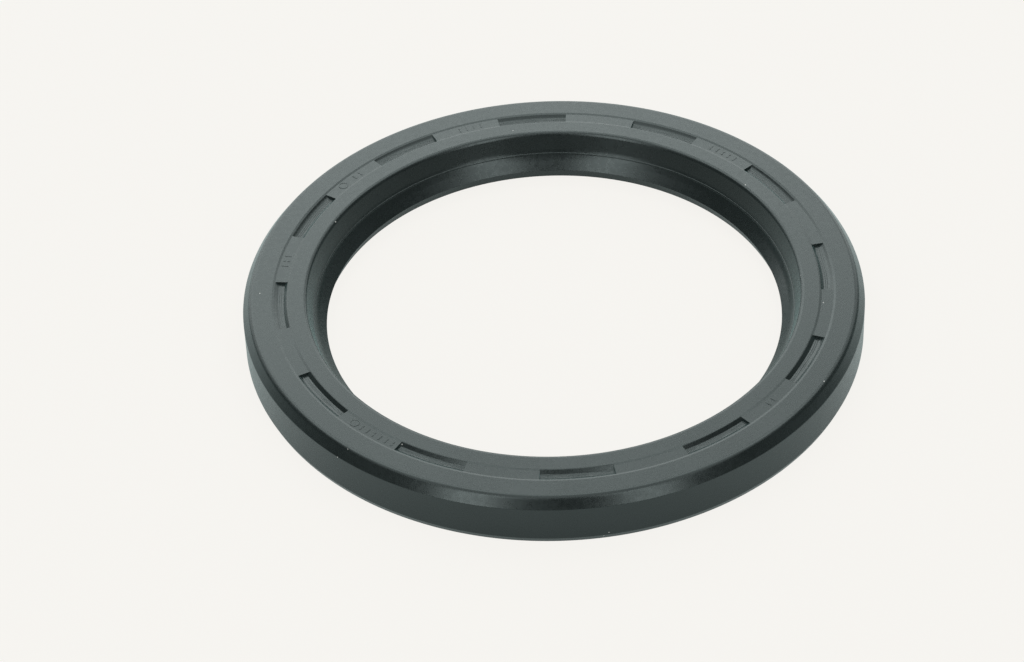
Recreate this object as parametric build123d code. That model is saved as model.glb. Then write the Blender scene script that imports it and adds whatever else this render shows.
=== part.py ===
from build123d import *
import os
from math import cos, radians, tan

# Radial shaft seal: a rubber body moulded round a steel case ring, with a garter
# spring behind the sealing lip. The ring's axis is Z. The oil side, where the spring
# lies, is at z = 0, and the closed back, which faces the air, is at z = width.
# Lengths are in millimetres and angles in degrees.

# Size of the seal
outer_diameter = 140.0
shaft_diameter = 105.0
width = 12.0

# Outside edges of the rubber cover
lead_in_depth = 0.55
lead_in_height = 1.35
back_chamfer_depth = 1.7
back_chamfer_height = 2.4
back_edge_round = 1.5
rim_draft = 0.2

# Steel case ring: a wall and an inward flange, folded from sheet
sheet_thickness = 1.0
inside_bend_radius = 0.6
cover_on_wall = 1.7
cover_on_flange = 1.5
cover_under_edge = 1.2
flange_setback = 2.2

# Bore and sealing lip, with heights counted from the lip's edge
lip_squeeze = 2.0
lip_height = 3.9
air_side_angle = 44.5
oil_side_angle = 22.0
throat_rise = 2.7
throat_round = 6.0
bore_wall_angle = 15.9
mouth_round = 1.0
toe_drop = 2.4

# Garter spring, and the groove that it lies in
coil_diameter = 2.5
groove_clearance = 0.05
spring_rise = 0.5
lip_body = 2.4
heel_reach = 0.1

# Membrane that carries the lip, and the pad that joins it to the flange
membrane_thickness = 1.75
membrane_rise = 1.65
root_round = 1.2
pad_overlap = 2.6
pad_thickness = 0.5
pad_slope_width = 0.3

# Shallow band in the back face, and the pockets left in it by the mould's supports
band_width = 2.65
band_depth = 0.13
band_slope_width = 0.5
band_bias = 0.4
pocket_count = 12
pocket_angle = 15.0
pocket_depth = 0.75
pocket_inner_run = 0.75
pocket_outer_run = 0.8
pocket_foot_round = 0.2
pocket_cove_round = 2.0

# Worked out from the driving dimensions
outer_radius = outer_diameter / 2
back_edge_radius = outer_radius - back_chamfer_depth

case_outer_radius = outer_radius - cover_on_wall
case_inner_radius = case_outer_radius - sheet_thickness
case_mid_radius = case_outer_radius - sheet_thickness / 2
flange_top = width - cover_on_flange
flange_bottom = flange_top - sheet_thickness
flange_middle = flange_top - sheet_thickness / 2
pad_bottom = flange_bottom - pad_thickness

lip_radius = (shaft_diameter - lip_squeeze) / 2
throat_height = lip_height + throat_rise
throat_radius = lip_radius + throat_rise * tan(radians(air_side_angle))
mouth_radius = throat_radius + (width - throat_height) * tan(radians(bore_wall_angle))
toe_height = lip_height - toe_drop
toe_radius = lip_radius + toe_drop * tan(radians(oil_side_angle))
flange_inner_radius = mouth_radius + flange_setback
pad_radius = flange_inner_radius + pad_overlap

coil_radius = coil_diameter / 2
groove_radius = coil_radius + groove_clearance
spring_ring_radius = lip_radius + lip_body + groove_radius
spring_height = lip_height + spring_rise
knee_height = spring_height + membrane_rise

band_radius = (mouth_radius + back_edge_radius) / 2 - band_bias
band_floor = width - band_depth
above_back = width + band_depth
pocket_inner_radius = band_radius - (band_width + band_slope_width) / 2
pocket_outer_radius = band_radius + band_width / 2
pocket_inner_foot = pocket_inner_radius + pocket_inner_run
pocket_outer_foot = pocket_outer_radius - pocket_outer_run
pocket_floor = width - pocket_depth


def membrane_outside(height):
    """Radius of the membrane's oil side, which runs parallel to the bore wall."""
    bore_wall = throat_radius + (height - throat_height) * tan(radians(bore_wall_angle))
    return bore_wall + membrane_thickness / cos(radians(bore_wall_angle))


def section(corners):
    """Face in the X-Z plane from corners given as (radius, height, round)."""
    points = [(radius, 0, height) for radius, height, _ in corners]
    rounds = [corner[2] for corner in corners]
    return make_face(FilletPolyline(*points, radius=rounds, close=True))


def disc(ring_radius, height, radius):
    """Round face in the X-Z plane, for what is circular in section."""
    return Plane.XZ * Pos(ring_radius, height) * Circle(radius)


def ring(face):
    """Turns a section once round the seal's axis."""
    return revolve(face, Axis.Z)


def case_section():
    """L-shaped section of the steel ring."""
    return section(
        [
            (case_outer_radius, cover_under_edge, 0),
            (case_outer_radius, flange_top, inside_bend_radius + sheet_thickness),
            (flange_inner_radius, flange_top, 0),
            (flange_inner_radius, flange_bottom, 0),
            (case_inner_radius, flange_bottom, inside_bend_radius),
            (case_inner_radius, cover_under_edge, 0),
        ]
    )


def cover_corners():
    """Lower rim, outside wall and back face, as far as the mouth of the bore."""
    return [
        (case_inner_radius, cover_under_edge, 0),
        (case_inner_radius + rim_draft, 0, 0),
        (outer_radius - lead_in_depth, 0, 0),
        (outer_radius, lead_in_height, 0),
        (outer_radius, width - back_chamfer_height, 0),
        (back_edge_radius, width, back_edge_round),
        (mouth_radius, width, mouth_round),
    ]


def lip_corners():
    """Bore wall, sealing lip and membrane, as far as the pad under the flange."""
    return [
        (throat_radius, throat_height, throat_round),
        (lip_radius, lip_height, 0),
        (toe_radius, toe_height, 0),
        (spring_ring_radius + heel_reach, toe_height, 0),
        (membrane_outside(knee_height), knee_height, 0),
        (membrane_outside(pad_bottom), pad_bottom, root_round),
        (pad_radius - pad_slope_width, pad_bottom, 0),
        (pad_radius, flange_bottom, 0),
    ]


def case_seat_corners():
    """Way back to the rim through the middle of the sheet, which is cut out afterwards."""
    return [
        (pad_radius, flange_middle, 0),
        (case_mid_radius, flange_middle, 0),
        (case_mid_radius, cover_under_edge, 0),
    ]


def rubber_section():
    """Section of the rubber, less the sheet and the spring's groove."""
    outline = section(cover_corners() + lip_corners() + case_seat_corners())
    groove = disc(spring_ring_radius, spring_height, groove_radius)
    return outline - case_section() - groove


def band_cutter():
    """Shallow band with sloping sides, cut into the back face."""
    foot_half = band_width / 2
    rim_half = foot_half + band_slope_width
    return ring(
        section(
            [
                (band_radius - foot_half, band_floor, 0),
                (band_radius + foot_half, band_floor, 0),
                (band_radius + rim_half, width, 0),
                (band_radius + rim_half, above_back, 0),
                (band_radius - rim_half, above_back, 0),
                (band_radius - rim_half, width, 0),
            ]
        )
    )


def pocket_cutter():
    """One pocket, centred on the X axis: a steep inner wall, and a cove up to the outer edge."""
    arc = revolve(
        section(
            [
                (pocket_inner_radius, above_back, 0),
                (pocket_inner_radius, width - band_depth / 2, 0),
                (pocket_inner_foot, pocket_floor, pocket_foot_round),
                (pocket_outer_foot, pocket_floor, pocket_cove_round),
                (pocket_outer_radius, band_floor, 0),
                (pocket_outer_radius, above_back, 0),
            ]
        ),
        Axis.Z,
        revolution_arc=pocket_angle,
    )
    return Rot(0, 0, -pocket_angle / 2) * arc


def make_seal_body():
    body = ring(rubber_section()) - band_cutter()
    for index in range(pocket_count):
        body -= Rot(0, 0, index * 360 / pocket_count) * pocket_cutter()
    return body


def make_case_ring():
    return ring(case_section())


def make_garter_spring():
    """Ring of the coil's outside diameter, seated in the groove."""
    return ring(disc(spring_ring_radius, spring_height, coil_radius))


pieces = {
    "seal_body": make_seal_body(),
    "steel_case_ring": make_case_ring(),
    "garter_spring": make_garter_spring(),
}

os.makedirs("parts", exist_ok=True)
for name, piece in pieces.items():
    export_step(piece, f"parts/{name}.step")
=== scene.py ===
"""Finish and lighting of a radial shaft seal: moulded rubber, steel case ring, garter spring."""

import bpy
import numpy as np
from mathutils import Matrix, Vector


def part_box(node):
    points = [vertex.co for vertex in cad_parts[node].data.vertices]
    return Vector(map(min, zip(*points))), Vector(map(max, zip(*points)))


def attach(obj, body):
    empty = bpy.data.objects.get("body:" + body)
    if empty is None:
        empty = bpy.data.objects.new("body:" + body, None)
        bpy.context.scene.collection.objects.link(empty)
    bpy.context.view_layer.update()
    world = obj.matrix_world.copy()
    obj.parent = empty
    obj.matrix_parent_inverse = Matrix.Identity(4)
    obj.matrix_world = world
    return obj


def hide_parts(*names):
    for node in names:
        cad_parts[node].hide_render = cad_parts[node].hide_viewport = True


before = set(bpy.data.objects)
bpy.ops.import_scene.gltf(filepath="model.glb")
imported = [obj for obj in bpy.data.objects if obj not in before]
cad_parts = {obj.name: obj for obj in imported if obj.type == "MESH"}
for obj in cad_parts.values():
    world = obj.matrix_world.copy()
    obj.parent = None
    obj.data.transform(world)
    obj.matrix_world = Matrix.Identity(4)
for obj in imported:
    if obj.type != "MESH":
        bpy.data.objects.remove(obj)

MM = 0.001
FULL_TURN = 2 * np.pi

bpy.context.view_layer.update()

# ---------------------------------------------------------------------------
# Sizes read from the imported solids
# ---------------------------------------------------------------------------
_, seal_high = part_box("seal_body")
case_low, case_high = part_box("steel_case_ring")
spring_low, spring_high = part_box("garter_spring")

OUTER_RADIUS = seal_high[0]
WIDTH = seal_high[2]
CASE_OUTER_RADIUS = case_high[0]
CASE_BOTTOM = case_low[2]
FLANGE_TOP = case_high[2]
COIL_RADIUS = (spring_high[2] - spring_low[2]) / 2
SPRING_HEIGHT = (spring_high[2] + spring_low[2]) / 2
SPRING_RING_RADIUS = spring_high[0] - COIL_RADIUS

# ---------------------------------------------------------------------------
# Section of the rubber and the steel, with the sizes of the part's own source
# ---------------------------------------------------------------------------
LEAD_IN_DEPTH = 0.55 * MM
LEAD_IN_HEIGHT = 1.35 * MM
BACK_CHAMFER_DEPTH = 1.7 * MM
BACK_CHAMFER_HEIGHT = 2.4 * MM
BACK_EDGE_ROUND = 1.5 * MM
RIM_DRAFT = 0.2 * MM
SHEET_THICKNESS = 1.0 * MM
INSIDE_BEND_RADIUS = 0.6 * MM
FLANGE_SETBACK = 2.2 * MM
FREE_LIP_RADIUS = 51.5 * MM
SPRING_RISE = 0.5 * MM
AIR_SIDE_ANGLE = np.radians(44.5)
OIL_SIDE_ANGLE = np.radians(22)
THROAT_RISE = 2.7 * MM
THROAT_ROUND = 6.0 * MM
BORE_WALL_ANGLE = np.radians(15.9)
MOUTH_ROUND = 1.0 * MM
TOE_DROP = 2.4 * MM
GROOVE_CLEARANCE = 0.05 * MM
HEEL_REACH = 0.1 * MM
MEMBRANE_THICKNESS = 1.75 * MM
MEMBRANE_RISE = 1.65 * MM
ROOT_ROUND = 1.2 * MM
PAD_OVERLAP = 2.6 * MM
PAD_THICKNESS = 0.5 * MM
PAD_SLOPE_WIDTH = 0.3 * MM
BAND_WIDTH = 2.65 * MM
BAND_DEPTH = 0.13 * MM
BAND_SLOPE_WIDTH = 0.5 * MM
BAND_BIAS = 0.4 * MM
POCKET_COUNT = 12
POCKET_ANGLE = np.radians(15)
POCKET_DEPTH = 0.75 * MM
POCKET_INNER_RUN = 0.75 * MM
POCKET_OUTER_RUN = 0.8 * MM
POCKET_FOOT_ROUND = 0.2 * MM
POCKET_COVE_ROUND = 2.0 * MM

CASE_INNER_RADIUS = CASE_OUTER_RADIUS - SHEET_THICKNESS
FLANGE_BOTTOM = FLANGE_TOP - SHEET_THICKNESS
PAD_BOTTOM = FLANGE_BOTTOM - PAD_THICKNESS
BACK_EDGE_RADIUS = OUTER_RADIUS - BACK_CHAMFER_DEPTH
LIP_HEIGHT = SPRING_HEIGHT - SPRING_RISE
THROAT_HEIGHT = LIP_HEIGHT + THROAT_RISE
THROAT_RADIUS = FREE_LIP_RADIUS + THROAT_RISE * np.tan(AIR_SIDE_ANGLE)
MOUTH_RADIUS = THROAT_RADIUS + (WIDTH - THROAT_HEIGHT) * np.tan(BORE_WALL_ANGLE)
TOE_HEIGHT = LIP_HEIGHT - TOE_DROP
TOE_RADIUS = FREE_LIP_RADIUS + TOE_DROP * np.tan(OIL_SIDE_ANGLE)
HEEL_RADIUS = SPRING_RING_RADIUS + HEEL_REACH
FLANGE_INNER_RADIUS = MOUTH_RADIUS + FLANGE_SETBACK
PAD_RADIUS = FLANGE_INNER_RADIUS + PAD_OVERLAP
GROOVE_RADIUS = COIL_RADIUS + GROOVE_CLEARANCE
KNEE_HEIGHT = SPRING_HEIGHT + MEMBRANE_RISE
BAND_RADIUS = (MOUTH_RADIUS + BACK_EDGE_RADIUS) / 2 - BAND_BIAS
BAND_FLOOR = WIDTH - BAND_DEPTH
BAND_FOOT_HALF = BAND_WIDTH / 2
BAND_RIM_HALF = BAND_FOOT_HALF + BAND_SLOPE_WIDTH
POCKET_INNER_RADIUS = BAND_RADIUS - (BAND_WIDTH + BAND_SLOPE_WIDTH) / 2
POCKET_OUTER_RADIUS = BAND_RADIUS + BAND_FOOT_HALF
POCKET_INNER_FOOT = POCKET_INNER_RADIUS + POCKET_INNER_RUN
POCKET_OUTER_FOOT = POCKET_OUTER_RADIUS - POCKET_OUTER_RUN
POCKET_FLOOR = WIDTH - POCKET_DEPTH

# Small rounds that the moulded edges really have, finer than the solids show
SHARP = 0
LIP_EDGE_ROUND = 0.04 * MM
FINE_ROUND = 0.06 * MM
EDGE_ROUND = 0.15 * MM
CHAMFER_ROUND = 0.3 * MM
POCKET_SOFT_ROUND = 0.35 * MM
POCKET_DRAFT = 0.06 * MM

# Low, uneven ridges that the mould leaves along the pocket floors
POCKET_RIDGES = 3
RIDGE_HEIGHT = 0.07 * MM
RIDGE_WANDER = 0.35
RIDGE_WAVES = 31

# Fineness of the new surfaces: support points beside a round, the largest angle and chord
# of a round's steps, and the step to which the band's radii are rounded
SUPPORT_GAP = 0.03 * MM
ARC_STEP = np.radians(18)
ARC_CHORD = 0.18 * MM
LEAST_ARC_STEPS = 2
TURN_STEPS = 360
RIDGE_STEPS = 8
WHOLE_STEP = 0.01 * MM
SHARP_ANGLE = np.radians(38)

# Garter spring
WIRE_RADIUS = 0.225 * MM
COIL_TURNS = 740
STEPS_PER_TURN = 16
WIRE_SIDES = 6
JOINT_AZIMUTH = np.radians(250)
JOINT_LENGTH = 3.0 * MM
JOINT_NARROWING = 0.12

# Bead that the mould's joint leaves round the throat
PARTING_LINE_SLOPE = np.radians(27)
PARTING_LINE_WIDTH = 0.5 * MM
PARTING_LINE_HEIGHT = 0.12 * MM
PARTING_LINE_SIDES = 10

# Plain raised marks on the lands between pockets: each land's azimuth, and its bars, where
# 1 is a whole bar and 0 a divided one. Angles are in degrees.
MARKED_LANDS = [
    (44.8, (1, 0, 0, 1, 0)),
    (104.0, (0, 1, 1, 0)),
    (133.5, (0, 1)),
    (165.6, (1, 0, 1)),
    (227.3, (0, 1, 0, 1, 1, 0)),
    (315.0, (1, 1)),
]
MARK_RINGS = [138.0, 221.2]
MARK_PITCH = 1.6
MARK_LENGTH = 1.5 * MM
MARK_WIDTH = 0.3 * MM
MARK_HEIGHT = 0.07 * MM
MARK_SINK = 0.05 * MM
MARK_EDGE = 0.03 * MM
SHORT_MARK_LENGTH = 0.55 * MM
SHORT_MARK_OFFSET = 0.475 * MM
RING_RADIUS = 1.0 * MM
RING_STEPS = 36
RING_SIDES = 8
BEVEL_STEPS = 2
BEVEL_ANGLE = np.radians(75)

# Random patterns: how many finer layers they have, how strong those are, and the span in
# which most of their values lie
PATTERN_LAYERS = 3.0
FINE_PATTERN_LAYERS = 2.0
MOTTLE_LAYERS = 4.0
PATTERN_HARSHNESS = 0.55
PATTERN_SPAN = (0.3, 0.7)

# Rubber: colours are linear, sizes and reliefs are in metres, and a roughness or a share
# goes from its first value to its second
RUBBER_DEEP = (0.0042, 0.0064, 0.0064, 1)
RUBBER_BLOOM = (0.0072, 0.0102, 0.0102, 1)
RUBBER_GLOSS_TINT = (0.86, 1.0, 0.99, 1)
RUBBER_IOR = 1.58
RUBBER_ROUGHNESS = (0.22, 0.30)
BLOOM_SHEEN = 0.17
BLOOM_SPREAD = 0.45
BLOOM_TINT = (0.60, 1.0, 0.97, 1)
BLOOM_HAZE = 0.04
CLOUD_SIZE = 16 * MM
CLOUD_SPAN = (0.35, 0.7)
MOTTLE_SIZE = 1.1 * MM
MOTTLE_RELIEF = 0.002 * MM
GRAIN_SIZE = 0.12 * MM
GRAIN_RELIEF = 0.0006 * MM
TURNING_SIZE = 0.24 * MM
TURNING_RELIEF = 0.004 * MM
TURNING_DRIFT = 3.0
DUST_SPACING = 2.4 * MM
DUST_REACH = 0.075
DUST_CORE = 0.6
DUST_RARITY = 0.82
DUST_COLOUR = (0.55, 0.55, 0.52, 1)
DUST_ROUGHNESS = 0.5

# Case ring and spring wire
PHOSPHATE_DARK = (0.20, 0.20, 0.195, 1)
PHOSPHATE_LIGHT = (0.30, 0.30, 0.285, 1)
CRYSTAL_SIZE = 0.15 * MM
CRYSTAL_RELIEF = 0.004 * MM
PATCH_SIZE = 9 * MM
PHOSPHATE_ROUGHNESS = (0.42, 0.62)
WIRE_DARK = (0.48, 0.47, 0.44, 1)
WIRE_LIGHT = (0.66, 0.64, 0.60, 1)
STREAK_SIZE = 1.5 * MM
WIRE_ROUGHNESS = (0.2, 0.34)

# Floor and light. Radiance 1 is a surface that renders white.
BACKGROUND_COLOUR = (0.99, 0.973, 0.937, 1)
MIRRORED_COLOUR = (0.90, 0.955, 0.945, 1)
FLOOR_COLOUR = (0.34, 0.34, 0.33, 1)
FLOOR_SEEN_SHARE = 0.89
FLOOR_MIRRORED_SHARE = 0.9
FLOOR_MIRRORED_SPAN = (0.035, 0.1)
FLOOR_REACH = 4.0
FLOOR_DROP = 0.02 * MM
LAMP_COLOUR = (0.985, 1.0, 0.995)
ROOM_LOW = (0.15, 0.15, 0.147, 1)
ROOM_HIGH = (0.1, 0.1, 0.1, 1)

# Camera, in metres, millimetres of film and degrees
CAMERA_DISTANCE = 0.7745
CAMERA_AZIMUTH = -93.59
CAMERA_ELEVATION = 41.21
CAMERA_ROLL = -1.79
SENSOR_WIDTH = 36.0
FOCAL_LENGTH = 119.74
CAMERA_SHIFT = (-0.0416, -0.0055)
CAMERA_CLIP = (0.05, 20.0)

# Softboxes: name, azimuth, elevation, distance, (width, height), radiance
SOFTBOXES = [
    ("softbox_left", CAMERA_AZIMUTH - 30.0, 29.5, 1.5, (0.46, 1.5), 3.25),
    ("softbox_right", CAMERA_AZIMUTH + 29.5, 29.5, 1.5, (0.46, 1.5), 2.8),
    ("softbox_back", 100.0, 37.5, 1.05, (0.88, 0.26), 1.85),
    ("softbox_back_low", 92.0, 17.0, 1.1, (1.85, 0.54), 0.8),
    ("softbox_back_wide", 92.0, 30.0, 1.25, (2.7, 1.27), 0.9),
    ("softbox_high", 88.0, 66.0, 0.97, (1.15, 0.42), 1.55),
    ("softbox_overhead", CAMERA_AZIMUTH, 88.0, 0.9, (1.4, 1.0), 1.0),
]


# ---------------------------------------------------------------------------
# Sections: (radius, height) points, worked out corner by corner
# ---------------------------------------------------------------------------
def unit(vector):
    """Vector of length 1 in the same direction."""
    return vector / np.linalg.norm(vector)


def even_angles(count):
    """Angles that divide a full turn evenly, from zero."""
    return np.arange(count) * FULL_TURN / count


def corner_arc(before, corner, after, radius):
    """Points that round one corner, with a support point just before and after.

    The arc touches both straights. Its centre stands off the first straight by the
    radius, and its points are centre + radius * (cos a, sin a) for even angles a.
    """
    way_in = unit(corner - before)
    way_out = unit(after - corner)
    turn = np.arctan2(way_in[0] * way_out[1] - way_in[1] * way_out[0], way_in @ way_out)
    setback = radius * np.tan(abs(turn) / 2)
    start = corner - setback * way_in
    centre = start + radius * np.sign(turn) * np.array([-way_in[1], way_in[0]])
    least = max(abs(turn) / ARC_STEP, abs(turn) * radius / ARC_CHORD, LEAST_ARC_STEPS)
    steps = int(np.ceil(least))
    first = np.arctan2(start[1] - centre[1], start[0] - centre[0])
    angles = first + np.linspace(0, turn, steps + 1)
    arc = centre + radius * np.stack([np.cos(angles), np.sin(angles)], axis=1)
    lead = start - SUPPORT_GAP * way_in
    trail = corner + (setback + SUPPORT_GAP) * way_out
    return np.vstack([lead, arc, trail])


def rounded(corners):
    """One array of points for each corner (radius, height, round) of a closed section."""
    points = [np.array(corner[:2], float) for corner in corners]
    count = len(points)
    runs = []
    for index, (_, _, radius) in enumerate(corners):
        if radius == SHARP:
            runs.append(points[index][None])
        else:
            after = points[(index + 1) % count]
            runs.append(corner_arc(points[index - 1], points[index], after, radius))
    return runs


def membrane_outside(height):
    """Radius of the membrane's oil side, which runs parallel to the bore wall."""
    bore_wall = THROAT_RADIUS + (height - THROAT_HEIGHT) * np.tan(BORE_WALL_ANGLE)
    return bore_wall + MEMBRANE_THICKNESS / np.cos(BORE_WALL_ANGLE)


def groove_arc():
    """Spring groove, from its lower lip round its back to its upper lip.

    The circle meets the line from heel to knee at two points, and the arc is
    centre + radius * (cos a, sin a) between the angles of those points.
    """
    centre = np.array([SPRING_RING_RADIUS, SPRING_HEIGHT])
    heel = np.array([HEEL_RADIUS, TOE_HEIGHT]) - centre
    knee = np.array([membrane_outside(KNEE_HEIGHT), KNEE_HEIGHT]) - centre
    along = unit(knee - heel)
    middle = -(heel @ along)
    half_chord = np.sqrt(middle**2 - heel @ heel + GROOVE_RADIUS**2)
    lower = heel + (middle - half_chord) * along
    upper = heel + (middle + half_chord) * along
    first = np.arctan2(lower[1], lower[0]) % FULL_TURN
    last = np.arctan2(upper[1], upper[0]) % FULL_TURN
    angles = np.linspace(first, last, int((first - last) / ARC_STEP) + 2)
    return centre + GROOVE_RADIUS * np.stack([np.cos(angles), np.sin(angles)], axis=1)


def heights_at(radii, corners):
    """Heights, at the given radii, of a rounded line that runs inward from corner to corner."""
    line = np.vstack(rounded(corners))[::-1]
    return np.interp(radii, line[:, 0], line[:, 1])


def band_sections():
    """The band in the back face at one set of radii: its heights on land and in a pocket.

    Both lines start and end on the flat face, well outside the band.
    """
    land = [
        (BAND_RADIUS + 2 * BAND_RIM_HALF, WIDTH, SHARP),
        (BAND_RADIUS + BAND_RIM_HALF, WIDTH, FINE_ROUND),
        (BAND_RADIUS + BAND_FOOT_HALF, BAND_FLOOR, FINE_ROUND),
        (BAND_RADIUS - BAND_FOOT_HALF, BAND_FLOOR, FINE_ROUND),
        (BAND_RADIUS - BAND_RIM_HALF, WIDTH, FINE_ROUND),
        (BAND_RADIUS - 2 * BAND_RIM_HALF, WIDTH, SHARP),
    ]
    pocket = land[:2] + [
        (POCKET_OUTER_RADIUS, BAND_FLOOR, FINE_ROUND),
        (POCKET_OUTER_FOOT, POCKET_FLOOR, POCKET_COVE_ROUND),
        (POCKET_INNER_FOOT, POCKET_FLOOR, POCKET_FOOT_ROUND),
        (POCKET_INNER_RADIUS, WIDTH - BAND_DEPTH / 2, POCKET_SOFT_ROUND),
        (BAND_RADIUS - BAND_RIM_HALF, WIDTH, FINE_ROUND),
        (BAND_RADIUS - 2 * BAND_RIM_HALF, WIDTH, SHARP),
    ]
    floor = np.linspace(POCKET_INNER_FOOT, POCKET_OUTER_FOOT, RIDGE_STEPS * POCKET_RIDGES + 1)
    runs = rounded(land)[1:-1] + rounded(pocket)[1:-1]
    corners = np.concatenate([run[:, 0] for run in runs])
    whole = np.round(np.concatenate([corners, floor]) / WHOLE_STEP)
    radii = np.unique(whole)[::-1] * WHOLE_STEP
    return radii, heights_at(radii, land), heights_at(radii, pocket)


def ridge_lift(radii, angles):
    """Height of the low ridges on the pocket floors, on a grid of angles and radii.

    At x of the way across the floor it is height * 4x(1-x) * sin^2(pi * (n * x + w)),
    where n is the number of ridges and w wanders as the sine of the angle round the seal.
    """
    across = (radii - POCKET_INNER_FOOT) / (POCKET_OUTER_FOOT - POCKET_INNER_FOOT)
    across = np.clip(across, 0, 1)
    wander = RIDGE_WANDER * np.sin(RIDGE_WAVES * angles)[:, None]
    wave = np.sin(np.pi * (POCKET_RIDGES * across + wander)) ** 2
    return RIDGE_HEIGHT * 4 * across * (1 - across) * wave


def seal_section():
    """Closed section of the rubber, and how deep a pocket is under each of its points."""
    cover = [
        (CASE_INNER_RADIUS, CASE_BOTTOM, SHARP),
        (CASE_INNER_RADIUS + RIM_DRAFT, 0, EDGE_ROUND),
        (OUTER_RADIUS - LEAD_IN_DEPTH, 0, EDGE_ROUND),
        (OUTER_RADIUS, LEAD_IN_HEIGHT, EDGE_ROUND),
        (OUTER_RADIUS, WIDTH - BACK_CHAMFER_HEIGHT, CHAMFER_ROUND),
        (BACK_EDGE_RADIUS, WIDTH, BACK_EDGE_ROUND),
    ]
    lip = [
        (MOUTH_RADIUS, WIDTH, MOUTH_ROUND),
        (THROAT_RADIUS, THROAT_HEIGHT, THROAT_ROUND),
        (FREE_LIP_RADIUS, LIP_HEIGHT, LIP_EDGE_ROUND),
        (TOE_RADIUS, TOE_HEIGHT, EDGE_ROUND),
        (HEEL_RADIUS, TOE_HEIGHT, EDGE_ROUND),
    ]
    membrane = [
        (membrane_outside(KNEE_HEIGHT), KNEE_HEIGHT, EDGE_ROUND),
        (membrane_outside(PAD_BOTTOM), PAD_BOTTOM, ROOT_ROUND),
        (PAD_RADIUS - PAD_SLOPE_WIDTH, PAD_BOTTOM, EDGE_ROUND),
        (PAD_RADIUS, FLANGE_BOTTOM, SHARP),
        (FLANGE_INNER_RADIUS, FLANGE_BOTTOM, SHARP),
        (FLANGE_INNER_RADIUS, FLANGE_TOP, SHARP),
        (CASE_OUTER_RADIUS, FLANGE_TOP, INSIDE_BEND_RADIUS + SHEET_THICKNESS),
        (CASE_OUTER_RADIUS, CASE_BOTTOM, SHARP),
    ]
    runs = rounded(cover + lip + membrane)
    groove_place = len(cover) + len(lip)
    radii, land, pocket = band_sections()
    before = np.vstack(runs[: len(cover)])
    after = np.vstack(runs[len(cover) : groove_place] + [groove_arc()] + runs[groove_place:])
    section = np.vstack([before, np.stack([radii, land], axis=1), after])
    depth = np.zeros(len(section))
    depth[len(before) : len(before) + len(radii)] = land - pocket
    return section, depth


def pocket_columns():
    """Angles of the seal's columns, and 1 for each in a pocket or 0 for each outside.

    To the even columns each pocket adds four at either end: two just outside its end
    wall and two just inside, so that the wall is steep and its edges are crisp.
    """
    centres = even_angles(POCKET_COUNT)
    gap = SUPPORT_GAP / BAND_RADIUS
    draft = POCKET_DRAFT / BAND_RADIUS
    steps = np.array([-gap, 0, draft, draft + gap])
    ends = np.concatenate([-POCKET_ANGLE / 2 + steps, POCKET_ANGLE / 2 - steps])
    extra = (centres[:, None] + ends).reshape(-1) % FULL_TURN
    angles = np.sort(np.concatenate([even_angles(TURN_STEPS), extra]))
    pitch = FULL_TURN / POCKET_COUNT
    from_centre = np.abs((angles + pitch / 2) % pitch - pitch / 2)
    inside = from_centre < POCKET_ANGLE / 2 - draft / 2
    return angles, inside.astype(float)


# ---------------------------------------------------------------------------
# Meshes
# ---------------------------------------------------------------------------
def closed_quads(rows, columns):
    """Corner numbers of every quad of a grid that closes on itself both ways."""
    row, column = np.meshgrid(np.arange(rows), np.arange(columns), indexing="ij")
    next_row = (row + 1) % rows
    next_column = (column + 1) % columns
    corners = [
        row * columns + column,
        next_row * columns + column,
        next_row * columns + next_column,
        row * columns + next_column,
    ]
    return np.stack(corners, axis=-1).reshape(-1, 4)


def mesh_from(name, points, quads):
    """Smooth-shaded mesh from points and quads, with its sharp edges marked."""
    points = points.reshape(-1, 3).astype(np.float32)
    mesh = bpy.data.meshes.new(name)
    mesh.vertices.add(len(points))
    mesh.vertices.foreach_set("co", points.reshape(-1))
    mesh.loops.add(quads.size)
    mesh.loops.foreach_set("vertex_index", quads.reshape(-1).astype(np.int32))
    mesh.polygons.add(len(quads))
    mesh.polygons.foreach_set("loop_start", np.arange(len(quads), dtype=np.int32) * 4)
    mesh.polygons.foreach_set("use_smooth", np.ones(len(quads), bool))
    mesh.update(calc_edges=True)
    mesh.set_sharp_from_angle(angle=SHARP_ANGLE)
    return mesh


def turned_mesh(name, radius, height, angles):
    """Closed surface of revolution: (r cos a, r sin a, z) on a grid of angles and section points.

    The height is a row of its own for each angle, or one row for all of them.
    """
    angle = angles[:, None]
    rows, columns = len(angles), len(radius)
    heights = np.broadcast_to(height, (rows, columns))
    points = np.stack([radius * np.cos(angle), radius * np.sin(angle), heights], axis=-1)
    return mesh_from(name, points, closed_quads(rows, columns))


def add_piece(name, mesh, material, node=None):
    """Puts a mesh into the scene as a piece of the seal, in place of the node if one is named."""
    piece = bpy.data.objects.new(name, mesh)
    bpy.context.scene.collection.objects.link(piece)
    mesh.materials.append(material)
    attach(piece, "root")
    if node:
        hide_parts(node)
    return piece


def seal_mesh():
    """The moulding: its section turned once round, and sunk by a pocket's depth in each pocket."""
    section, depth = seal_section()
    angles, inside = pocket_columns()
    lift = np.where(depth > 0, ridge_lift(section[:, 0], angles), 0)
    height = section[:, 1] - inside[:, None] * (depth - lift)
    return turned_mesh("moulding", section[:, 0], height, angles)


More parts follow.
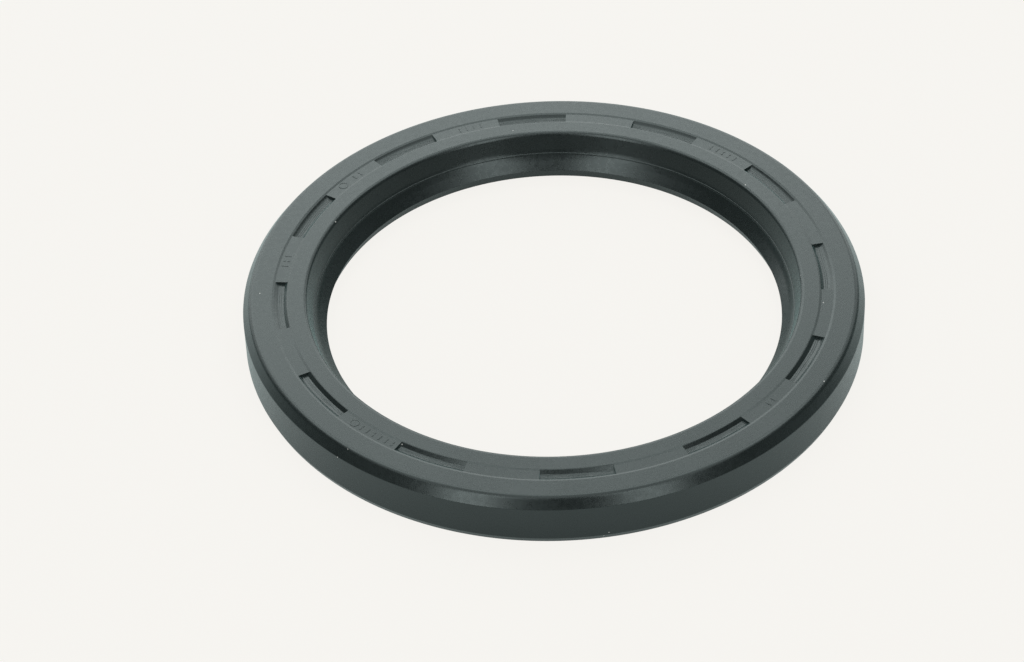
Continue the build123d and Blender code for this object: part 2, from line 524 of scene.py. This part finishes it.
def case_mesh():
    """The steel ring: its L-shaped section turned once round."""
    corners = [
        (CASE_OUTER_RADIUS, CASE_BOTTOM, SHARP),
        (CASE_OUTER_RADIUS, FLANGE_TOP, INSIDE_BEND_RADIUS + SHEET_THICKNESS),
        (FLANGE_INNER_RADIUS, FLANGE_TOP, SHARP),
        (FLANGE_INNER_RADIUS, FLANGE_BOTTOM, SHARP),
        (CASE_INNER_RADIUS, FLANGE_BOTTOM, INSIDE_BEND_RADIUS),
        (CASE_INNER_RADIUS, CASE_BOTTOM, SHARP),
    ]
    section = np.vstack(rounded(corners))
    return turned_mesh("case", section[:, 0], section[:, 1], even_angles(TURN_STEPS))


def spring_mesh():
    """The close-wound coil, joined into a ring.

    The wire's centre goes round a small circle of radius c while it goes once round
    the seal: radius R + c cos(nt), height h + c sin(nt), with n turns. The wire's
    surface is that line plus its radius times (cos v * outward + sin v * sideways).
    Where the tapered end is screwed in, the coil is a little narrower.
    """
    t = even_angles(COIL_TURNS * STEPS_PER_TURN)
    from_joint = (t - JOINT_AZIMUTH) * SPRING_RING_RADIUS / JOINT_LENGTH
    coil = (COIL_RADIUS - WIRE_RADIUS) * (1 - JOINT_NARROWING * np.exp(-(from_joint**2)))
    phase = COIL_TURNS * t
    radial = np.stack([np.cos(t), np.sin(t), np.zeros_like(t)], axis=1)
    forward = np.stack([-np.sin(t), np.cos(t), np.zeros_like(t)], axis=1)
    upward = np.array([0.0, 0.0, 1.0])
    outward = np.cos(phase)[:, None] * radial + np.sin(phase)[:, None] * upward
    around = -np.sin(phase)[:, None] * radial + np.cos(phase)[:, None] * upward
    centre = SPRING_RING_RADIUS * radial + SPRING_HEIGHT * upward + coil[:, None] * outward
    tangent = SPRING_RING_RADIUS * forward + (COIL_TURNS * coil)[:, None] * around
    tangent /= np.linalg.norm(tangent, axis=1)[:, None]
    sideways = np.cross(outward, tangent)
    v = even_angles(WIRE_SIDES)[None, :, None]
    ring = np.cos(v) * outward[:, None] + np.sin(v) * sideways[:, None]
    points = centre[:, None] + WIRE_RADIUS * ring
    return mesh_from("coil", points, closed_quads(len(t), WIRE_SIDES))


def parting_line_mesh():
    """Thin bead left round the throat by the joint of the mould: a low lens-shaped section.

    It stands where the throat's round has the given slope. The round's centre lies off the
    throat's corner, along the corner's bisector, by its radius over the cosine of half the
    turn, and the foot is centre - radius * (-cos slope, sin slope).
    """
    middle = (AIR_SIDE_ANGLE + BORE_WALL_ANGLE) / 2
    half_turn = (AIR_SIDE_ANGLE - BORE_WALL_ANGLE) / 2
    bisector = np.array([-np.cos(middle), np.sin(middle)])
    inward = np.array([-np.cos(PARTING_LINE_SLOPE), np.sin(PARTING_LINE_SLOPE)])
    along = np.array([np.sin(PARTING_LINE_SLOPE), np.cos(PARTING_LINE_SLOPE)])
    corner = np.array([THROAT_RADIUS, THROAT_HEIGHT])
    foot = corner + THROAT_ROUND / np.cos(half_turn) * bisector - THROAT_ROUND * inward
    v = even_angles(PARTING_LINE_SIDES)
    across = PARTING_LINE_WIDTH / 2 * np.cos(v)[:, None] * along
    out = PARTING_LINE_HEIGHT * np.sin(v)[:, None] * inward
    section = (foot + across + out)[::-1]
    return turned_mesh("bead", section[:, 0], section[:, 1], even_angles(TURN_STEPS))


def bar_places():
    """Azimuth, distance from the band's middle, and length of every raised bar."""
    places = []
    for land, bars in MARKED_LANDS:
        first = land - MARK_PITCH * (len(bars) - 1) / 2
        for index, whole in enumerate(bars):
            azimuth = np.radians(first + MARK_PITCH * index)
            if whole:
                places.append((azimuth, 0.0, MARK_LENGTH))
            else:
                places.append((azimuth, -SHORT_MARK_OFFSET, SHORT_MARK_LENGTH))
                places.append((azimuth, SHORT_MARK_OFFSET, SHORT_MARK_LENGTH))
    return np.array(places)


def bar_blocks():
    """Points and quads of the bars: blocks that point at the axis, partly sunk in the band.

    A block's corner is (R + offset + length / 2 * a) outward, width / 2 * b sideways and
    at its foot or top, where a and b are -1 or 1. The foot's four corners come first.
    """
    azimuth, offset, length = (column[:, None] for column in bar_places().T)
    outward = np.array([-1, 1, 1, -1, -1, 1, 1, -1])
    sideways = np.array([-1, -1, 1, 1, -1, -1, 1, 1]) * MARK_WIDTH / 2
    reach = BAND_RADIUS + offset + outward * length / 2
    height = BAND_FLOOR + np.repeat([-MARK_SINK, MARK_HEIGHT], 4)
    x = reach * np.cos(azimuth) - sideways * np.sin(azimuth)
    y = reach * np.sin(azimuth) + sideways * np.cos(azimuth)
    points = np.stack([x, y, np.broadcast_to(height, x.shape)], axis=-1).reshape(-1, 3)
    faces = [[0, 3, 2, 1], [4, 5, 6, 7], [0, 1, 5, 4], [1, 2, 6, 5], [2, 3, 7, 6], [3, 0, 4, 7]]
    first = len(outward) * np.arange(len(azimuth))[:, None, None]
    return points, (np.array(faces) + first).reshape(-1, 4)


def ring_beads():
    """Points and quads of the small raised rings: a lens-shaped section turned round a centre.

    Round each centre c on the band's middle a point is c + (r + w cos v)(cos u, sin u), at
    height h sin v over the band's floor.
    """
    u = even_angles(RING_STEPS)[:, None]
    v = even_angles(RING_SIDES)
    reach = RING_RADIUS + MARK_WIDTH / 2 * np.cos(v)
    azimuth = np.radians(MARK_RINGS)[:, None, None]
    x = BAND_RADIUS * np.cos(azimuth) + reach * np.cos(u)
    y = BAND_RADIUS * np.sin(azimuth) + reach * np.sin(u)
    z = np.broadcast_to(BAND_FLOOR + MARK_HEIGHT * np.sin(v), x.shape)
    quads = closed_quads(RING_STEPS, RING_SIDES)
    first = RING_STEPS * RING_SIDES * np.arange(len(MARK_RINGS))[:, None, None]
    return np.stack([x, y, z], axis=-1).reshape(-1, 3), (quads + first).reshape(-1, 4)


def mark_mesh():
    """All the raised bars and rings, as one mesh of closed shells."""
    bars, bar_quads = bar_blocks()
    rings, ring_quads = ring_beads()
    quads = np.vstack([bar_quads, ring_quads + len(bars)])
    return mesh_from("marks", np.vstack([bars, rings]), quads)


def ease_block_edges(piece):
    """Small rounds on the square edges of the bars."""
    bevel = piece.modifiers.new("eased_edges", "BEVEL")
    bevel.width = MARK_EDGE
    bevel.segments = BEVEL_STEPS
    bevel.limit_method = "ANGLE"
    bevel.angle_limit = BEVEL_ANGLE


# ---------------------------------------------------------------------------
# Materials
# ---------------------------------------------------------------------------
class Finish:
    """A node material under construction, with short calls for the nodes used here."""

    def __init__(self, name):
        self.material = bpy.data.materials.new(name)
        self.material.use_nodes = True
        self.tree = self.material.node_tree
        self.shader = self.tree.nodes["Principled BSDF"]
        self.place = self.node("ShaderNodeTexCoord").outputs["Object"]

    def node(self, kind, settings=None, **inputs):
        """New node. Settings are its properties, and inputs are sockets or plain values."""
        node = self.tree.nodes.new(kind)
        for key, value in (settings or {}).items():
            setattr(node, key, value)
        for key, value in inputs.items():
            self.feed(node.inputs[key.replace("_", " ")], value)
        return node

    def feed(self, socket, value):
        """Links a socket to an output, or sets it to a plain value."""
        if isinstance(value, bpy.types.NodeSocket):
            self.tree.links.new(value, socket)
        else:
            socket.default_value = value

    def surface(self, settings):
        """Links or sets sockets of the surface shader itself, by their names."""
        for name, value in settings.items():
            self.feed(self.shader.inputs[name], value)

    def noise(self, size, layers=PATTERN_LAYERS):
        """Soft random pattern with features of about that size, in metres."""
        return self.node(
            "ShaderNodeTexNoise",
            Vector=self.place,
            Scale=1 / size,
            Detail=layers,
            Roughness=PATTERN_HARSHNESS,
        ).outputs["Fac"]

    def turning(self, size, drift):
        """Random rings round the seal's axis, as a lathe leaves them in a mould.

        The pattern is taken at (distance from the axis, height, drift), where the drift is
        a soft pattern of its own, so that no ring runs evenly all the way round.
        """
        flat = self.node("ShaderNodeVectorMath", {"operation": "MULTIPLY"})
        self.feed(flat.inputs[0], self.place)
        flat.inputs[1].default_value = (1, 1, 0)
        apart = self.node("ShaderNodeVectorMath", {"operation": "LENGTH"})
        self.feed(apart.inputs[0], flat.outputs["Vector"])
        height = self.node("ShaderNodeSeparateXYZ", Vector=self.place).outputs["Z"]
        across = self.math("DIVIDE", apart.outputs["Value"], size)
        up = self.math("DIVIDE", height, size)
        round_about = self.math("MULTIPLY", self.noise(CLOUD_SIZE), drift)
        at = self.node("ShaderNodeCombineXYZ", X=across, Y=up, Z=round_about)
        rings = self.node("ShaderNodeTexNoise", Vector=at.outputs["Vector"], Scale=1.0)
        return rings.outputs["Fac"]

    def ramp(self, value, span, results=(0.0, 1.0)):
        """Carries value from its span to the span of the results, and clamps it there."""
        mapped = self.node("ShaderNodeMapRange", {"clamp": True}, Value=value)
        mapped.inputs["From Min"].default_value, mapped.inputs["From Max"].default_value = span
        mapped.inputs["To Min"].default_value, mapped.inputs["To Max"].default_value = results
        return mapped.outputs["Result"]

    def math(self, operation, first, second):
        """Result of one sum on two values."""
        node = self.node("ShaderNodeMath", {"operation": operation})
        self.feed(node.inputs[0], first)
        self.feed(node.inputs[1], second)
        return node.outputs["Value"]

    def mix(self, factor, first, second):
        """Mix of two colours."""
        node = self.node("ShaderNodeMix", {"data_type": "RGBA"})
        self.feed(node.inputs["Factor"], factor)
        self.feed(node.inputs["A"], first)
        self.feed(node.inputs["B"], second)
        return node.outputs["Result"]

    def specks(self, spacing, reach, core, rarity):
        """1 in the core of small specks, falling to 0 at their reach.

        There is one place for a speck in each cell of that spacing, and only a cell whose
        own random value is over the rarity has one.
        """
        cells = self.node("ShaderNodeTexVoronoi", Vector=self.place, Scale=1 / spacing)
        inside = self.ramp(cells.outputs["Distance"], (reach, reach * core))
        chosen = self.math("GREATER_THAN", cells.outputs["Color"], rarity)
        return self.math("MULTIPLY", inside, chosen)

    def bump(self, height, relief, normal=None):
        """Relief of that height in metres, on top of an earlier one if it is given."""
        node = self.node("ShaderNodeBump", Height=height, Distance=relief, Strength=1.0)
        if normal:
            self.feed(node.inputs["Normal"], normal)
        return node.outputs["Normal"]


def rubber_finish():
    """Black rubber with a blue-green cast: satin skin, clouded bloom, mould rings, dust."""
    finish = Finish("moulded_rubber")
    clouds = finish.noise(CLOUD_SIZE)
    mottle = finish.noise(MOTTLE_SIZE, MOTTLE_LAYERS)
    grain = finish.noise(GRAIN_SIZE, FINE_PATTERN_LAYERS)
    dust = finish.specks(DUST_SPACING, DUST_REACH, DUST_CORE, DUST_RARITY)
    bloom = finish.ramp(clouds, CLOUD_SPAN)
    skin = finish.mix(bloom, RUBBER_DEEP, RUBBER_BLOOM)
    polish = finish.ramp(mottle, PATTERN_SPAN, RUBBER_ROUGHNESS)
    hazed = finish.math("ADD", polish, finish.math("MULTIPLY", bloom, BLOOM_HAZE))
    dusty = finish.math("MULTIPLY", dust, DUST_ROUGHNESS)
    rings = finish.bump(finish.turning(TURNING_SIZE, TURNING_DRIFT), TURNING_RELIEF)
    ripple = finish.bump(mottle, MOTTLE_RELIEF, rings)
    finish.surface(
        {
            "Base Color": finish.mix(dust, skin, DUST_COLOUR),
            "Roughness": finish.math("MAXIMUM", hazed, dusty),
            "IOR": RUBBER_IOR,
            "Specular Tint": RUBBER_GLOSS_TINT,
            "Sheen Weight": BLOOM_SHEEN,
            "Sheen Roughness": BLOOM_SPREAD,
            "Sheen Tint": BLOOM_TINT,
            "Normal": finish.bump(grain, GRAIN_RELIEF, ripple),
        }
    )
    return finish.material


def case_finish():
    """Grey phosphated sheet: dull, patchy and finely crystalline."""
    finish = Finish("case_steel")
    crystals = finish.noise(CRYSTAL_SIZE, FINE_PATTERN_LAYERS)
    patches = finish.noise(PATCH_SIZE)
    finish.surface(
        {
            "Base Color": finish.mix(patches, PHOSPHATE_DARK, PHOSPHATE_LIGHT),
            "Metallic": 1.0,
            "Roughness": finish.ramp(crystals, PATTERN_SPAN, PHOSPHATE_ROUGHNESS),
            "Normal": finish.bump(crystals, CRYSTAL_RELIEF),
        }
    )
    return finish.material


def spring_finish():
    """Drawn spring wire: bright steel, slightly uneven, under a film of oil."""
    finish = Finish("spring_steel")
    streaks = finish.noise(STREAK_SIZE, FINE_PATTERN_LAYERS)
    finish.surface(
        {
            "Base Color": finish.mix(streaks, WIRE_DARK, WIRE_LIGHT),
            "Metallic": 1.0,
            "Roughness": finish.ramp(streaks, PATTERN_SPAN, WIRE_ROUGHNESS),
        }
    )
    return finish.material


def floor_finish():
    """Pale floor that the camera and gloss see nearly as plain paper, with soft shadows.

    In gloss the paper's share grows with the distance from the origin, so that near the seal gloss
    sees only the darker lit floor: painted shade round and inside the ring.
    """
    finish = Finish("pale_floor")
    path = finish.node("ShaderNodeLightPath").outputs
    mirrored = finish.math("MAXIMUM", path["Is Glossy Ray"], path["Is Transmission Ray"])
    apart = finish.node("ShaderNodeVectorMath", {"operation": "LENGTH"}, Vector=finish.place)
    # Painted shade: the floor seen in reflections is made darker near the seal, where the ring's
    # shade falls
    shares = (0.0, FLOOR_MIRRORED_SHARE)
    painted_shade_ramp = finish.ramp(apart.outputs["Value"], FLOOR_MIRRORED_SPAN, shares)
    reflected = finish.math("MULTIPLY", mirrored, painted_shade_ramp)
    seen = finish.math("MULTIPLY", path["Is Camera Ray"], FLOOR_SEEN_SHARE)
    share = finish.math("MAXIMUM", seen, reflected)
    finish.surface({"Base Color": FLOOR_COLOUR, "Roughness": 1.0, "Specular IOR Level": 0.0})
    white = finish.mix(mirrored, BACKGROUND_COLOUR, MIRRORED_COLOUR)
    paper = finish.node("ShaderNodeEmission", Color=white, Strength=1.0)
    blend = finish.node("ShaderNodeMixShader", Fac=share)
    finish.feed(blend.inputs[1], finish.shader.outputs["BSDF"])
    finish.feed(blend.inputs[2], paper.outputs["Emission"])
    output = finish.tree.nodes["Material Output"]
    finish.feed(output.inputs["Surface"], blend.outputs["Shader"])
    return finish.material


# ---------------------------------------------------------------------------
# Floor, light and camera
# ---------------------------------------------------------------------------
def add_floor():
    """Plain level floor under the seal, far wider than any view of it."""
    reach = FLOOR_REACH
    corners = [[-reach, -reach], [reach, -reach], [reach, reach], [-reach, reach]]
    points = np.array([corner + [-FLOOR_DROP] for corner in corners])
    mesh = mesh_from("floor", points, np.array([[0, 1, 2, 3]]))
    mesh.materials.append(floor_finish())
    floor = bpy.data.objects.new("floor", mesh)
    bpy.context.scene.collection.objects.link(floor)


def direction(azimuth, elevation):
    """Unit vector from the seal towards a point of the sky, from angles in degrees."""
    azimuth, elevation = np.radians([azimuth, elevation])
    flat = np.cos(elevation)
    return Vector((flat * np.cos(azimuth), flat * np.sin(azimuth), np.sin(elevation)))


def add_softbox(name, azimuth, elevation, distance, size, radiance):
    """Rectangular softbox that faces the seal. Radiance is how bright its face looks.

    A lamp's power in watts is its radiance times its area times pi.
    """
    lamp = bpy.data.lights.new(name, "AREA")
    lamp.shape = "RECTANGLE"
    lamp.size, lamp.size_y = size
    lamp.energy = radiance * size[0] * size[1] * np.pi
    lamp.color = LAMP_COLOUR
    box = bpy.data.objects.new(name, lamp)
    towards = direction(azimuth, elevation)
    aim = towards.to_track_quat("Z", "Y").to_matrix().to_4x4()
    box.matrix_world = Matrix.Translation(distance * towards) @ aim
    bpy.context.scene.collection.objects.link(box)


def add_room():
    """Even light from all round, a little darker overhead than near the floor."""
    world = bpy.data.worlds.new("room")
    world.use_nodes = True
    tree = world.node_tree
    background = tree.nodes["Background"]
    place = tree.nodes.new("ShaderNodeTexCoord")
    split = tree.nodes.new("ShaderNodeSeparateXYZ")
    height = tree.nodes.new("ShaderNodeMapRange")
    mix = tree.nodes.new("ShaderNodeMix")
    mix.data_type = "RGBA"
    mix.inputs["A"].default_value = ROOM_LOW
    mix.inputs["B"].default_value = ROOM_HIGH
    tree.links.new(place.outputs["Generated"], split.inputs["Vector"])
    tree.links.new(split.outputs["Z"], height.inputs["Value"])
    tree.links.new(height.outputs["Result"], mix.inputs["Factor"])
    tree.links.new(mix.outputs["Result"], background.inputs["Color"])
    background.inputs["Strength"].default_value = 1.0
    bpy.context.scene.world = world


def add_camera():
    """Camera at its place on a sphere round the seal, aimed at the origin, then rolled."""
    data = bpy.data.cameras.new("camera")
    data.sensor_width = SENSOR_WIDTH
    data.lens = FOCAL_LENGTH
    data.shift_x, data.shift_y = CAMERA_SHIFT
    data.clip_start, data.clip_end = CAMERA_CLIP
    towards = direction(CAMERA_AZIMUTH, CAMERA_ELEVATION)
    aim = (-towards).to_track_quat("-Z", "Y").to_matrix().to_4x4()
    camera = bpy.data.objects.new("camera", data)
    roll = Matrix.Rotation(np.radians(CAMERA_ROLL), 4, "Z")
    camera.matrix_world = Matrix.Translation(CAMERA_DISTANCE * towards) @ aim @ roll
    bpy.context.scene.collection.objects.link(camera)
    bpy.context.scene.camera = camera


# ---------------------------------------------------------------------------
# The seal, piece by piece
# ---------------------------------------------------------------------------
rubber = rubber_finish()
add_piece("rubber_moulding", seal_mesh(), rubber, "seal_body")
add_piece("parting_line", parting_line_mesh(), rubber)
ease_block_edges(add_piece("mould_marks", mark_mesh(), rubber))
add_piece("pressed_case", case_mesh(), case_finish(), "steel_case_ring")
add_piece("wound_spring", spring_mesh(), spring_finish(), "garter_spring")

add_floor()
add_room()
for softbox in SOFTBOXES:
    add_softbox(*softbox)
add_camera()

bpy.context.scene.view_settings.view_transform = "Standard"
